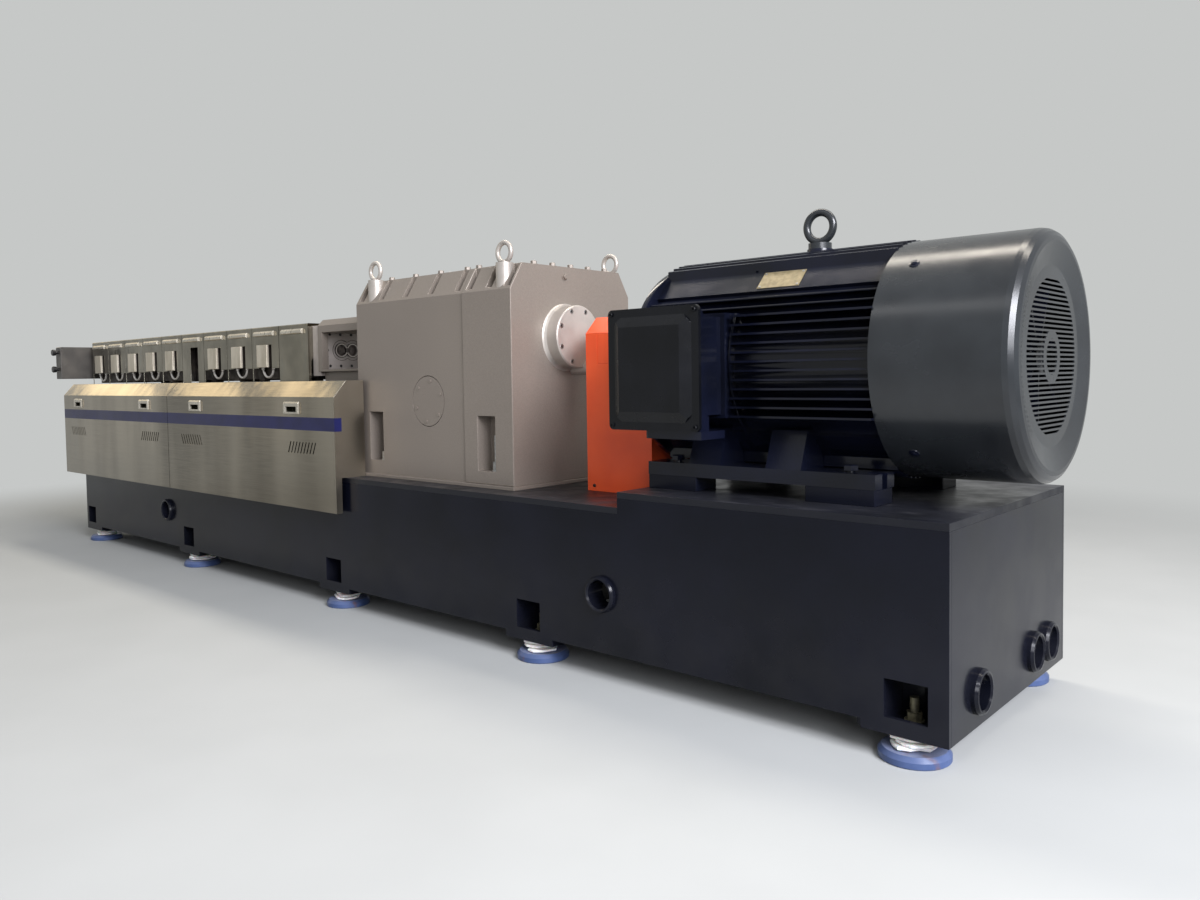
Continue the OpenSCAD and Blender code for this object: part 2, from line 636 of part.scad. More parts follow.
module fan_cowl() color("#1d1f2e") placed() along_x([-cowl_x0, 0, motor_z]) {
  length = cowl_x0 + cowl_x1;
  rotate_extrude() polygon([[cowl_r - sheet, 0], [cowl_r, 0], [cowl_r, length - 34],
    [cowl_r - 3, length - 20], [cowl_r - 11, length - 8], [cowl_r - 24, length - 1],
    [cowl_r - 36, length], [grille_r, length - 16], [grille_r, length - 20],
    [cowl_r - 36, length - 4], [cowl_r - 26, length - 6], [cowl_r - 14, length - 14],
    [cowl_r - 6, length - 24], [cowl_r - sheet, length - 36]]);
  translate([0, 0, length - 20]) linear_extrude(4) difference() {
    circle(r = grille_r + 0.01);
    rotate(90) intersection() {
      difference() {
        circle(r = slot_field_r);
        difference() {
          circle(r = 72);
          circle(r = 48);
        }
      }
      for (i = [0 : slot_rows - 1]) translate([-slot_field_r, (i - (slot_rows - 1) / 2) * 12.6 - 3.4])
        square([2 * slot_field_r, 6.8]);
    }
  }
}

base_side_plates();
base_end_plates();
base_cross_plates();
low_deck();
motor_deck();
foot_boxes();
pipe_sleeves();
foot_pads();
foot_studs();
foam_wraps();
gearbox_base_flange();
gearbox_housing();
gearbox_input_section();
lifting_bosses();
gearbox_side_covers();
thrust_bearing_cover();
foundation_bolts();
lantern();
lantern_support();
barrel_flange();
screw_shafts();
barrels();
barrel_stands();
barrel_covers();
cover_grips();
cover_end_plate();
junction_boxes();
cable_loops();
die_head();
die_knobs();
side_doors();
door_handles();
tray_ends();
tray_tops();
tray_rails();
coupling_guard();
coupling();
motor_frame();
motor_packing_blocks();
motor_eyebolt();
terminal_box();
terminal_box_lid();
fan_cowl();
cooling_fan();
motor_nameplate();
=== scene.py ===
import json
import math
import random

import bmesh
import bpy
from mathutils import Matrix, Vector


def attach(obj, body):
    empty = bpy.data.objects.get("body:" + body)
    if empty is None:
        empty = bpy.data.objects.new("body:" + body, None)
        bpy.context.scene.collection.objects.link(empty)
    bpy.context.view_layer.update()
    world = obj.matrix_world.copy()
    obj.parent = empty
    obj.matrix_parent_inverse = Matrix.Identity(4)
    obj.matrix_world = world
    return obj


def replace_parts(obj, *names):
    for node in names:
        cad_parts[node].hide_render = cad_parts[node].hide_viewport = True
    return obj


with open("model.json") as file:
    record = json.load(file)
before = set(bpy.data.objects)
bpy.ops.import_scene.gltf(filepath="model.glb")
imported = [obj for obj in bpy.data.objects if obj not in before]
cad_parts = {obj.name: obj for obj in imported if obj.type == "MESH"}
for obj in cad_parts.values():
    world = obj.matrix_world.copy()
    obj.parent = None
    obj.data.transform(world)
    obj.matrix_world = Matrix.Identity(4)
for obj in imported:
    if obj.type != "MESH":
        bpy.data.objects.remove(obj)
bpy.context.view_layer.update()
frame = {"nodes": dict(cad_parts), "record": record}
nodes = frame["nodes"]

# Places that the CAD gives: the frame's middle, then the motor, base, doors, gearbox, screws and barrels
X_MID, Y_MID = -3060.5, 29.5
AXIS_Z = 1022
COWL_R = 341
BASE_MID = 30
DOOR_HALF = 520
DOOR_DIE_END, DOOR_JOINT, DOOR_GEAR_END = -5717, -4191, -2575
GEAR_JOINT, GEAR_END = -1918, -1645
GEAR_HALF, GEAR_TOP = 328, 1412
SCREW_Y, SCREW_Z = 32, 1137
FLANGE_X = -3219
BARREL_X, BARREL_PITCH = -3290, 280
BOX_Z = 1060

UP, TO_MOTOR = (0, 0, 1), (1, 0, 0)
PALE = "#c6c8c7"


def at(x, y, z):
    return Vector(((x - X_MID) / 1000, (y - Y_MID) / 1000, z / 1000))


# Colours and shader nodes


def colour(code):
    parts = [int(code[i : i + 2], 16) / 255 for i in (1, 3, 5)]
    return [c / 12.92 if c <= 0.04045 else ((c + 0.055) / 1.055) ** 2.4 for c in parts] + [1.0]


def add(owner, kind, props=None, values=None, links=None):
    """Adds one shader node to a material or world, with its properties, socket values and links."""
    made = owner.node_tree.nodes.new(kind)
    for name, value in (props or {}).items():
        setattr(made, name, value)
    for name, value in (values or {}).items():
        made.inputs[name].default_value = value
    for name, (source, output) in (links or {}).items():
        owner.node_tree.links.new(source.outputs[output], made.inputs[name])
    return made


def material(name):
    mat = bpy.data.materials.new(name)
    mat.use_nodes = True
    mat.node_tree.nodes.clear()
    return mat


def pattern(mat, size, low, high, stretch=(1, 1, 1), detail=4, near=0.35, far=0.65):
    """Noise with a grain of size mm, mapped from low to high between the near and far noise values."""
    place = add(mat, "ShaderNodeTexCoord")
    stretched = add(mat, "ShaderNodeMapping", values={"Scale": stretch}, links={"Vector": (place, "Object")})
    noise = add(
        mat,
        "ShaderNodeTexNoise",
        values={"Scale": 1000 / size, "Detail": detail},
        links={"Vector": (stretched, 0)},
    )
    return add(
        mat,
        "ShaderNodeMapRange",
        values={"From Min": near, "From Max": far, "To Min": low, "To Max": high},
        links={"Value": (noise, 0)},
    )


def tones(mat, ground, *layers):
    """A finish's colour, laid up from its ground; each layer is a factor node and the colour it brings in.

    A colour is a hex code or the result of other tones.
    """
    for factor, tone in layers:
        laid = add(mat, "ShaderNodeMix", {"data_type": "RGBA"}, links={0: (factor, 0)})
        for socket, one in ((6, ground), (7, tone)):
            if isinstance(one, str):
                laid.inputs[socket].default_value = colour(one)
            else:
                mat.node_tree.links.new(one.outputs[2], laid.inputs[socket])
        ground = laid
    return ground


def low_dust(mat, amount):
    """Grey dust that gathers towards the floor, in broken patches."""
    place = add(mat, "ShaderNodeTexCoord")
    split = add(mat, "ShaderNodeSeparateXYZ", links={"Vector": (place, "Object")})
    height = add(
        mat,
        "ShaderNodeMapRange",
        values={"From Min": 0.02, "From Max": 0.45, "To Min": amount, "To Max": 0.0},
        links={"Value": (split, "Z")},
    )
    patches = pattern(mat, 111, 0.2, 1.0)
    return add(mat, "ShaderNodeMath", {"operation": "MULTIPLY"}, links={0: (height, 0), 1: (patches, 0)})


def facing_up(mat):
    """1 on faces that look up, 0 on upright ones."""
    normal = add(mat, "ShaderNodeNewGeometry")
    split = add(mat, "ShaderNodeSeparateXYZ", links={"Vector": (normal, "Normal")})
    limits = {"From Min": 0.6, "From Max": 0.9}
    return add(mat, "ShaderNodeMapRange", values=limits, links={"Value": (split, "Z")})


def deeper(mat, depth, middle):
    """1 where the surface lies within a depth of an upright plane, both in mm."""
    place = add(mat, "ShaderNodeTexCoord")
    split = add(mat, "ShaderNodeSeparateXYZ", links={"Vector": (place, "Object")})
    values = {1: (Y_MID - middle) / 1000}
    shift = add(mat, "ShaderNodeMath", {"operation": "ADD"}, values, {0: (split, "Y")})
    away = add(mat, "ShaderNodeMath", {"operation": "ABSOLUTE"}, links={0: (shift, 0)})
    return add(mat, "ShaderNodeMath", {"operation": "LESS_THAN"}, {1: depth / 1000}, {0: (away, 0)})


def seen_plainly(owner):
    """1 for rays from the camera, off glossy surfaces and through clear ones, 0 for the rest."""
    path = add(owner, "ShaderNodeLightPath")
    rays = {0: (path, "Is Camera Ray"), 1: (path, "Is Glossy Ray")}
    seen = add(owner, "ShaderNodeMath", {"operation": "MAXIMUM"}, links=rays)
    rays = {0: (seen, 0), 1: (path, "Is Transmission Ray")}
    return add(owner, "ShaderNodeMath", {"operation": "MAXIMUM"}, links=rays)


def coat(mat, base, roughness, bump=None, strength=0.1, distance=0.001, **values):
    """The shader of a finish, from its colour, roughness and relief, and its other socket values."""
    shader = add(mat, "ShaderNodeBsdfPrincipled", values={k.replace("_", " "): v for k, v in values.items()})
    mat.node_tree.links.new(base.outputs[2], shader.inputs["Base Color"])
    mat.node_tree.links.new(roughness.outputs[0], shader.inputs["Roughness"])
    if bump:
        height = {"Strength": strength, "Distance": distance}
        relief = add(mat, "ShaderNodeBump", values=height, links={"Height": (bump, 0)})
        mat.node_tree.links.new(relief.outputs[0], shader.inputs["Normal"])
    return shader


def finished(mat, shader):
    """Links a shader node to the material's output and returns the material."""
    out = add(mat, "ShaderNodeOutputMaterial", links={"Surface": (shader, 0)})
    out.is_active_output = True
    return mat


# Materials, with grains in mm
# Orange peel, brushing, blasting and foam cells are drawn a few times coarser than real, to show.


def navy_enamel():
    # Welded steel plate in sprayed navy-black gloss enamel: dark, with fine orange peel, dusty low down.
    mat = material("navy_enamel")
    dusty = tones(mat, "#080a12", (pattern(mat, 333, 0, 1), "#0d0f1a"), (low_dust(mat, 0.08), "#4c4b48"))
    peel = pattern(mat, 5.6, 0, 1, detail=2)
    gloss = pattern(mat, 167, 0.16, 0.26)
    return finished(mat, coat(mat, dusty, gloss, peel, 0.05, 0.0005, Specular_IOR_Level=0.2))


def deck_enamel():
    # Deck plate in the same enamel: dark edges, and a top dulled by settled dust and foot traffic.
    mat = material("deck_enamel")
    marks = pattern(mat, 45.5, 0, 0.35, (0.4, 1.6, 1), 8, 0.56, 0.7)
    top = tones(mat, "#131419", (pattern(mat, 200, 0, 1, detail=8), "#22232a"), (marks, "#4a494e"))
    whole = tones(mat, "#0a0c15", (facing_up(mat), top))
    peel = pattern(mat, 5.6, 0, 1, detail=2)
    gloss = pattern(mat, 83.3, 0.3, 0.48, detail=8)
    return finished(mat, coat(mat, whole, gloss, peel, 0.05, 0.0005, IOR=1.4))


def blue_foot_enamel():
    # Turned steel pads in blue enamel: scuffed and rusty in spots, with painted light that makes the tops
    # lighter and greyer.
    mat = material("blue_foot_enamel")
    scuffs = pattern(mat, 71.4, 0, 1, detail=8)
    rust = pattern(mat, 62.5, 0, 0.7, detail=8, near=0.6, far=0.7)
    # The facing_up layer is painted light on the tops of the pads.
    wear_and_painted_top_light = tones(mat, "#35476f", (scuffs, "#43547d"), (facing_up(mat), "#6a738f"), (rust, "#6b4a3c"))
    return finished(mat, coat(mat, wear_and_painted_top_light, pattern(mat, 50, 0.3, 0.55), pattern(mat, 3.3, 0, 1), 0.1, 0.0006))


def zinc_steel():
    # Zinc-plated steel fasteners: a soft grey shine with slight blotches.
    mat = material("zinc_steel")
    tint = tones(mat, "#8f8f90", (pattern(mat, 8.3, 0, 1), "#b4b3af"))
    gloss = pattern(mat, 11, 0.3, 0.5)
    return finished(mat, coat(mat, tint, gloss, pattern(mat, 1.1, 0, 1), 0.08, 0.0004, Metallic=1.0))


def worn_zinc():
    # Yellow-passivated zinc on the studs and nuts: olive, greasy and dull.
    mat = material("worn_zinc")
    tint = tones(mat, "#4b483c", (pattern(mat, 16.7, 0, 1), "#77725c"))
    gloss = pattern(mat, 11, 0.4, 0.6)
    return finished(mat, coat(mat, tint, gloss, pattern(mat, 1.1, 0, 1), 0.08, 0.0004, Metallic=0.6))


def foam_sheet():
    # Expanded polyethylene foam sheet: matt white, with fine cells that let light in.
    mat = material("foam_sheet")
    tint = tones(mat, "#e6deda", (pattern(mat, 16.7, 0, 1), "#f6f0ee"))
    cells = pattern(mat, 2.5, 0, 1)
    matt = pattern(mat, 16.7, 0.7, 0.9)
    return finished(mat, coat(mat, tint, matt, cells, 0.3, 0.001, Subsurface_Weight=0.2))


def gearbox_coat():
    # Cast and welded steel, filled and sprayed with warm grey metallic paint: satin, with a faint flake.
    mat = material("gearbox_coat")
    clouds = pattern(mat, 625, 0, 1, detail=3, near=0.2, far=0.8)
    flakes = pattern(mat, 3.8, 0, 0.2, detail=3)
    paint = tones(mat, "#776e66", (clouds, "#81786f"), (flakes, "#9d958c"))
    satin = pattern(mat, 333, 0.36, 0.42, detail=3)
    peel = pattern(mat, 3.3, 0, 1, detail=3)
    return finished(mat, coat(mat, paint, satin, peel, 0.06, 0.0005, Metallic=0.3))


def turned_steel():
    # Machined steel, bare and lightly oiled: pale, with fine turning marks.
    mat = material("turned_steel")
    tint = tones(mat, "#a8a19a", (pattern(mat, 125, 0, 1), "#bdb6ae"))
    marks = pattern(mat, 2.5, 0, 1, (1, 1, 6))
    return finished(mat, coat(mat, tint, pattern(mat, 33, 0.34, 0.46), marks, 0.05, 0.0004, Metallic=0.5))


def dark_steel():
    # Heat-darkened steel of the barrels and their stands: brown-black scale with little shine.
    mat = material("dark_steel")
    tint = tones(mat, "#2a2523", (pattern(mat, 55.6, 0, 1, detail=8), "#4a433d"))
    scale = pattern(mat, 3.3, 0, 1)
    return finished(mat, coat(mat, tint, pattern(mat, 25, 0.4, 0.65), scale, 0.15, 0.0006, Metallic=0.6))


def brushed_stainless(name="brushed_stainless", rough=0.13):
    # Stainless sheet, brushed lengthwise and folded: fine streaks, painted reflections as broad vertical
    # bands of tone, and reflections drawn out by slight waves.
    mat = material(name)
    # This layer draws broad vertical bands of lighter and darker tone: painted reflections.
    clouds = pattern(mat, 556, 0, 1, (1.6, 1.6, 0.25), 2)
    lines = pattern(mat, 11.1, 0, 0.25, (0.06, 4, 4), 2)
    sheet = tones(mat, "#6e685d", (clouds, "#968f82"), (lines, "#a39b8d"))
    waves = pattern(mat, 417, 0, 1, (2, 2, 0.6), 2, 0.2, 0.8)
    gloss = pattern(mat, 333, rough, rough + 0.05, (0.5, 2, 3))
    brushing = {"Anisotropic": 0.7, "Anisotropic Rotation": 0.25}
    return finished(mat, coat(mat, sheet, gloss, waves, 0.45, 0.004, Metallic=1.0, **brushing))


def filmed_stainless():
    # Bright stainless covers still under clear film: sharp reflections, broken by its creases.
    mat = material("filmed_stainless")
    tint = tones(mat, "#747065", (pattern(mat, 167, 0, 1), "#878276"))
    creases = pattern(mat, 250, 0, 1, (2.4, 1, 1.2), 2, 0.4, 0.6)
    gloss = pattern(mat, 111, 0.12, 0.22, detail=2)
    return finished(mat, coat(mat, tint, gloss, creases, 0.3, 0.004, Metallic=1.0))


def blasted_steel():
    # Bead-blasted stainless of the junction boxes: an even pale grain, with painted shade in dark brown on
    # the parts that sit back behind the covers' faces.
    mat = material("blasted_steel")
    streaks = pattern(mat, 50, 0, 1, (1, 1, 0.3))
    # Faces within 178 mm of the middle, behind the covers' faces, get painted shade.
    painted_shade_behind = tones(mat, "#b5ac9b", (streaks, "#cdc5b5"), (deeper(mat, 178, 0), "#2f2924"))
    grit = pattern(mat, 1.4, 0, 1)
    return finished(mat, coat(mat, painted_shade_behind, pattern(mat, 16.7, 0.4, 0.5), grit, 0.1, 0.0004, Metallic=0.6))


def satin_nickel(name="satin_nickel", depth=0):
    # Satin nickel-plated die castings of the handles and grips: a soft warm shine, with painted shade inside
    # the cups.
    mat = material(name)
    plating = pattern(mat, 83.3, 0, 1)
    # Everything deeper than the door face turns dark: painted shade in the cups.
    cups_painted_shade = tones(mat, "#a9a396", (plating, "#bdb7aa"), (deeper(mat, depth, BASE_MID), "#2c2a20"))
    satin = pattern(mat, 16.7, 0.26, 0.34)
    return finished(mat, coat(mat, cups_painted_shade, satin, pattern(mat, 3.3, 0, 1), 0.03, 0.0002, Metallic=0.6))


def milled_flange():
    # Face-milled steel of the barrel flange: light grey and even, with little shine.
    mat = material("milled_flange")
    tint = tones(mat, "#a29a94", (pattern(mat, 71.4, 0, 1), "#b3aba5"))
    satin = pattern(mat, 25, 0.4, 0.5)
    return finished(mat, coat(mat, tint, satin, pattern(mat, 2, 0, 1), 0.05, 0.0003, Metallic=0.2))


def shaft_steel():
    # Hardened tool steel of the screw ends: brown with oil, with a dim shine.
    mat = material("shaft_steel")
    tint = tones(mat, "#4a4340", (pattern(mat, 16.7, 0, 1), "#655d58"))
    satin = pattern(mat, 16.7, 0.3, 0.45)
    return finished(mat, coat(mat, tint, satin, pattern(mat, 2, 0, 1), 0.1, 0.0004, Metallic=0.5))


def grey_conduit():
    # Galvanised steel conduit, wound with ribs: light grey, with a broken shine.
    mat = material("grey_conduit")
    tint = tones(mat, "#a3a09a", (pattern(mat, 6.7, 0, 1), "#c4c1bb"))
    satin = pattern(mat, 6.7, 0.35, 0.5)
    return finished(mat, coat(mat, tint, satin, pattern(mat, 1.7, 0, 1), 0.1, 0.0004, Metallic=0.4))


def die_coat():
    # Dark grey satin paint on the die head's plates: a low, even sheen.
    mat = material("die_coat")
    tint = tones(mat, "#363330", (pattern(mat, 100, 0, 1), "#4a4641"))
    return finished(mat, coat(mat, tint, pattern(mat, 50, 0.38, 0.5), pattern(mat, 3.3, 0, 1), 0.06, 0.0005))


def black_knob():
    # Moulded black phenolic of the knobs: deep black with a soft shine.
    mat = material("black_knob")
    tint = tones(mat, "#121213", (pattern(mat, 25, 0, 1), "#1d1d1f"))
    gloss = pattern(mat, 12.5, 0.25, 0.4)
    return finished(mat, coat(mat, tint, gloss, pattern(mat, 1.7, 0, 1), 0.05, 0.0003))


def orange_coat():
    # Folded steel guard in orange powder coat: strong colour, a broad shine and slight orange peel.
    mat = material("orange_coat")
    tint = tones(mat, "#d84a1e", (pattern(mat, 200, 0, 1), "#e35424"))
    peel = pattern(mat, 4, 0, 1, detail=2)
    return finished(mat, coat(mat, tint, pattern(mat, 83.3, 0.32, 0.45), peel, 0.08, 0.0005))


def motor_enamel():
    # Cast iron and sheet steel in near-black navy gloss enamel: sharp, dark reflections.
    mat = material("motor_enamel")
    tint = tones(mat, "#080a12", (pattern(mat, 250, 0, 1), "#0e1120"))
    peel = pattern(mat, 6.2, 0, 1, detail=2)
    gloss = pattern(mat, 125, 0.14, 0.22)
    return finished(mat, coat(mat, tint, gloss, peel, 0.05, 0.0006, Specular_IOR_Level=0.34))


def lid_enamel():
    # Cast terminal box lid in black semi-gloss enamel: dim, soft reflections.
    mat = material("lid_enamel")
    tint = tones(mat, "#08090c", (pattern(mat, 125, 0, 1), "#0d0e12"))
    peel = pattern(mat, 4.5, 0, 1, detail=2)
    gloss = pattern(mat, 83.3, 0.2, 0.28)
    return finished(mat, coat(mat, tint, gloss, peel, 0.08, 0.0006, Specular_IOR_Level=0.25))


def charcoal_enamel():
    # Rolled cowl and forged eyebolt in charcoal gloss enamel: a little greyer than the castings.
    mat = material("charcoal_enamel")
    tint = tones(mat, "#1b1d20", (pattern(mat, 250, 0, 1), "#25282b"))
    peel = pattern(mat, 6.2, 0, 1, detail=2)
    return finished(mat, coat(mat, tint, pattern(mat, 125, 0.2, 0.28), peel, 0.04, 0.0005))


def brass_plate():
    # Blank brass nameplate, dulled by handling: yellow-brown and nearly matt.
    mat = material("brass_plate")
    tint = tones(mat, "#796d51", (pattern(mat, 16.7, 0, 1, detail=8), "#918465"))
    matt = pattern(mat, 11.1, 0.45, 0.6)
    return finished(mat, coat(mat, tint, matt, pattern(mat, 1.7, 0, 1), 0.06, 0.0003, Metallic=0.3))


def stripe_film():
    # Blue self-adhesive film along the doors: smooth, even colour with a soft shine.
    mat = material("stripe_film")
    tint = tones(mat, "#15173f", (pattern(mat, 83.3, 0, 1), "#1a1c4a"))
    gloss = pattern(mat, 200, 0.3, 0.36)
    grain = pattern(mat, 3.3, 0, 1)
    return finished(mat, coat(mat, tint, gloss, grain, 0.02, 0.0002, Specular_IOR_Level=0.25))


def floor_paint():
    # Plain pale floor; further out, what the camera and reflections see is an even pale tone.
    mat = material("floor_paint")
    tint = tones(mat, "#a9abaa", (pattern(mat, 500, 0, 1), "#acaead"))
    paint = coat(mat, tint, pattern(mat, 500, 0.7, 0.75), Specular_IOR_Level=0.2)
    glow = add(mat, "ShaderNodeEmission", values={"Color": colour(PALE), "Strength": 1.0})
    place = add(mat, "ShaderNodeTexCoord")
    far = add(mat, "ShaderNodeVectorMath", {"operation": "LENGTH"}, links={0: (place, "Object")})
    smooth, metres = {"interpolation_type": "SMOOTHSTEP"}, {"From Min": 3.6, "From Max": 6.4}
    fade = add(mat, "ShaderNodeMapRange", smooth, metres, {"Value": (far, "Value")})
    share = {0: (seen_plainly(mat), 0), 1: (fade, 0)}
    factor = add(mat, "ShaderNodeMath", {"operation": "MULTIPLY"}, links=share)
    shares = {0: (factor, 0), 1: (paint, 0), 2: (glow, 0)}
    return finished(mat, add(mat, "ShaderNodeMixShader", links=shares))


MATERIALS = {
    "base_paint": navy_enamel(),
    "deck_paint": deck_enamel(),
    "foot_paint": blue_foot_enamel(),
    "zinc_steel": zinc_steel(),
    "foam": foam_sheet(),
    "gearbox_paint": gearbox_coat(),
    "machined_steel": turned_steel(),
    "dark_steel": dark_steel(),
    "stainless": brushed_stainless(),
    "cable": grey_conduit(),
    "die_paint": die_coat(),
    "black_plastic": black_knob(),
    "guard_paint": orange_coat(),
    "motor_paint": motor_enamel(),
    "box_paint": lid_enamel(),
    "brass": brass_plate(),
}
STRIPE = stripe_film()
FILMED = filmed_stainless()
CHARCOAL = charcoal_enamel()

# CAD nodes whose finish isn't that of their slot
OWN = {
    "barrel_covers": FILMED,
    "cover_end_plate": FILMED,
    "junction_boxes": blasted_steel(),
    "door_handles": satin_nickel("handle_casting", DOOR_HALF + 1),
    "cover_grips": satin_nickel(),
    "barrel_flange": milled_flange(),
    "foot_studs": worn_zinc(),
    "screw_shafts": shaft_steel(),
    "fan_cowl": CHARCOAL,
    "motor_eyebolt": CHARCOAL,
    "lantern": MATERIALS["gearbox_paint"],
    "tray_ends": brushed_stainless("tray_end_sheet", 0.38),
    "lantern_support": MATERIALS["gearbox_paint"],
}

# Widths in mm of the rounded edges of CAD nodes
EDGES = {
    "motor_frame": 1.8,
    "cover_grips": 1.5,
    "door_handles": 1,
    "lantern_support": 2,
    "barrel_flange": 1,
    "tray_ends": 1,
    "gearbox_housing": 3,
    "gearbox_input_section": 3,
    "terminal_box_lid": 4,
    "terminal_box": 3,
    "base_side_plates": 0.8,
    "base_end_plates": 0.8,
    "low_deck": 1,
    "motor_deck": 1,
    "coupling_guard": 2,
    "side_doors": 1.2,
    "barrel_covers": 1.2,
    "junction_boxes": 2,
    "die_head": 3,
    "motor_packing_blocks": 3,
    "gearbox_base_flange": 2,
    "lantern": 2,
}


def soften(made, width):
    """Rounds the sharp edges of a mesh so that they catch the light."""
    weld = made.modifiers.new("weld", "WELD")
    weld.merge_threshold = 0.00002
    bevel = made.modifiers.new("edges", "BEVEL")
    bevel.width = width / 1000
    bevel.segments = 2
    bevel.limit_method = "ANGLE"
    bevel.angle_limit = 0.6
    bevel.use_clamp_overlap = True
    bevel.harden_normals = False


def finish_frame():
    for part in frame["record"]["subparts"]:
        made = nodes[part["node"]]
        made.data.materials.clear()
        made.data.materials.append(OWN.get(part["node"], MATERIALS[part["material_slot"]]))
        if part["node"] in EDGES:
            soften(made, EDGES[part["node"]])


# Mesh building


def new_object(name, mesh):
    """Puts a bmesh into the scene as an object."""
    data = bpy.data.meshes.new(name)
    mesh.to_mesh(data)
    mesh.free()
    made = bpy.data.objects.new(name, data)
    bpy.context.scene.collection.objects.link(made)
    return made


def piece(name, mesh, slot, mat=None, smooth=True):
    """Turns a bmesh into a piece of the machine with its material."""
    bmesh.ops.recalc_face_normals(mesh, faces=mesh.faces)
    made = new_object(name, mesh)
    made.data.materials.append(mat or MATERIALS[slot])
    if smooth:
        made.data.shade_smooth()
        made.data.set_sharp_from_angle(angle=0.6)
    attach(made, "root")
    return made


def facing(point, direction):
    """A frame in metres at a point, with its Z along direction."""
    turn = Vector(direction).to_track_quat("Z", "Y").to_matrix().to_4x4()
    return Matrix.Translation(at(*point)) @ turn @ Matrix.Scale(0.001, 4)


def join_rings(mesh, rings, closed=(True, True)):
    """Walls between rings of equally many points; closed says which ends are capped."""
    for low, high in zip(rings, rings[1:]):
        for i in range(len(low)):
            j = (i + 1) % len(low)
            mesh.faces.new((low[i], low[j], high[j], high[i]))
    if closed[0]:
        mesh.faces.new(rings[0][::-1])
    if closed[1]:
        mesh.faces.new(rings[-1])


def lathe(mesh, profile, place, steps=32, closed=(True, True)):
    """Turns a profile of (radius, height) round the frame's Z."""
    rings = []
    for radius, height in profile:
        ring = []
        for i in range(steps):
            a = 2 * math.pi * i / steps
            ring.append(mesh.verts.new(place @ Vector((radius * math.cos(a), radius * math.sin(a), height))))
        rings.append(ring)
    join_rings(mesh, rings, closed)


def hex_bolt(mesh, place, width, height, washer=True):
    """A hexagon head, width across its corners, with a chamfered top, on a washer."""
    if washer:
        lathe(mesh, [(width * 0.62, 0), (width * 0.66, 0.6), (width * 0.66, 2), (width * 0.4, 2)], place, 24)
    up = place @ Matrix.Translation((0, 0, 2 if washer else 0))
    lathe(mesh, [(width / 2, 0), (width / 2, height * 0.85), (width * 0.43, height)], up, 6)


def socket_bolt(mesh, place, radius, height):
    """A cap screw whose socket is an open well."""
    rim = [(radius, 0), (radius, height - 1), (radius - 1, height), (radius * 0.56, height)]
    well = [(radius * 0.56, height), (radius * 0.54, height - radius * 0.7)]
    lathe(mesh, rim, place, 24, (True, False))
    lathe(mesh, well, place, 24, (False, True))


def block(mesh, low, high):
    """A box between two corners."""
    xs, ys, zs = zip(low, high)
    v = [mesh.verts.new(at(x, y, z)) for x in xs for y in ys for z in zs]
    for f in ((0, 1, 3, 2), (4, 6, 7, 5), (0, 4, 5, 1), (2, 3, 7, 6), (0, 2, 6, 4), (1, 5, 7, 3)):
        mesh.faces.new([v[i] for i in f])


def tube(mesh, points, radius, steps, rib):
    """A round tube along points in mm; rib swells every other ring."""
    rings = []
    for i, p in enumerate(points):
        ahead = Vector(points[min(i + 1, len(points) - 1)]) - Vector(points[max(i - 1, 0)])
        turn = ahead.to_track_quat("Z", "Y").to_matrix()
        r = radius + (rib if i % 2 else 0)
        ring = []
        for k in range(steps):
            a = 2 * math.pi * k / steps
            q = Vector(p) + turn @ Vector((r * math.cos(a), r * math.sin(a), 0))
            ring.append(mesh.verts.new(at(*q)))
        rings.append(ring)
    join_rings(mesh, rings)


# Pieces of the doors


def blue_stripe():
    """Film along both doors, turned in round their ends beside the gearbox."""
    mesh = bmesh.new()
    film, turn_in, z0, z1 = 0.4, 34, 771, 828
    spans = (DOOR_DIE_END, DOOR_JOINT - 2), (DOOR_JOINT + 2, DOOR_GEAR_END)
    for side in (-1, 1):
        face = BASE_MID + side * DOOR_HALF
        skin = face + side * film
        for x0, x1 in spans:
            block(mesh, (x0, min(face, skin), z0), (x1, max(face, skin), z1))
        inner = face - side * turn_in
        block(mesh, (DOOR_GEAR_END, min(inner, skin), z0), (DOOR_GEAR_END + film, max(inner, skin), z1))
    piece("blue_stripe", mesh, "base_paint", STRIPE, False)


# Pieces of the gearbox and the lantern


def thrust_cover_bolts():
    """Eight cap screws on the thrust bearing cover, each with a dark hexagon in its well as painted shade."""
    mesh, well_shade = bmesh.new(), bmesh.new()
    face, middle_y, middle_z, circle = GEAR_END + 63, -45, 1140, 102
    for i in range(8):
        a = math.radians(22.5 + 45 * i)
        place = facing((face, middle_y + circle * math.sin(a), middle_z - circle * math.cos(a)), TO_MOTOR)
        socket_bolt(mesh, place, 8.6, 6)
        # A dark hexagon at the foot of each well: painted shade.
        lathe(well_shade, [(4.7, 0.2), (4.7, 0.5)], place, 6)
    piece("thrust_cover_bolts", mesh, "zinc_steel")
    piece("thrust_bolt_well_shade", well_shade, "dark_steel")


def gearbox_bolts():
    """Heads along the edges of the top, one on the end face, and three plugs on the top."""
    mesh = bmesh.new()
    from_side = 82
    for x in (-2624, -2483, -2315, -2149, -1983, -1907, -1793):
        half = GEAR_HALF if x < GEAR_JOINT else GEAR_HALF + 6
        for side in (-1, 1):
            hex_bolt(mesh, facing((x, side * (half - from_side), GEAR_TOP), UP), 24, 12)
    for y in (-190, -90, 10, 110, 210):
        hex_bolt(mesh, facing((GEAR_END - 23, y, GEAR_TOP), UP), 24, 12)
    hex_bolt(mesh, facing((GEAR_END, -48, GEAR_TOP - 38), TO_MOTOR), 22, 9)
    for x, y in ((-2400, -120), (-2400, 120), (-2050, 0)):
        lathe(mesh, [(20, 0), (20, 3), (13, 3), (13, 16), (10, 18)], facing((x, y, GEAR_TOP), UP), 24)
    piece("gearbox_bolts", mesh, "gearbox_paint")


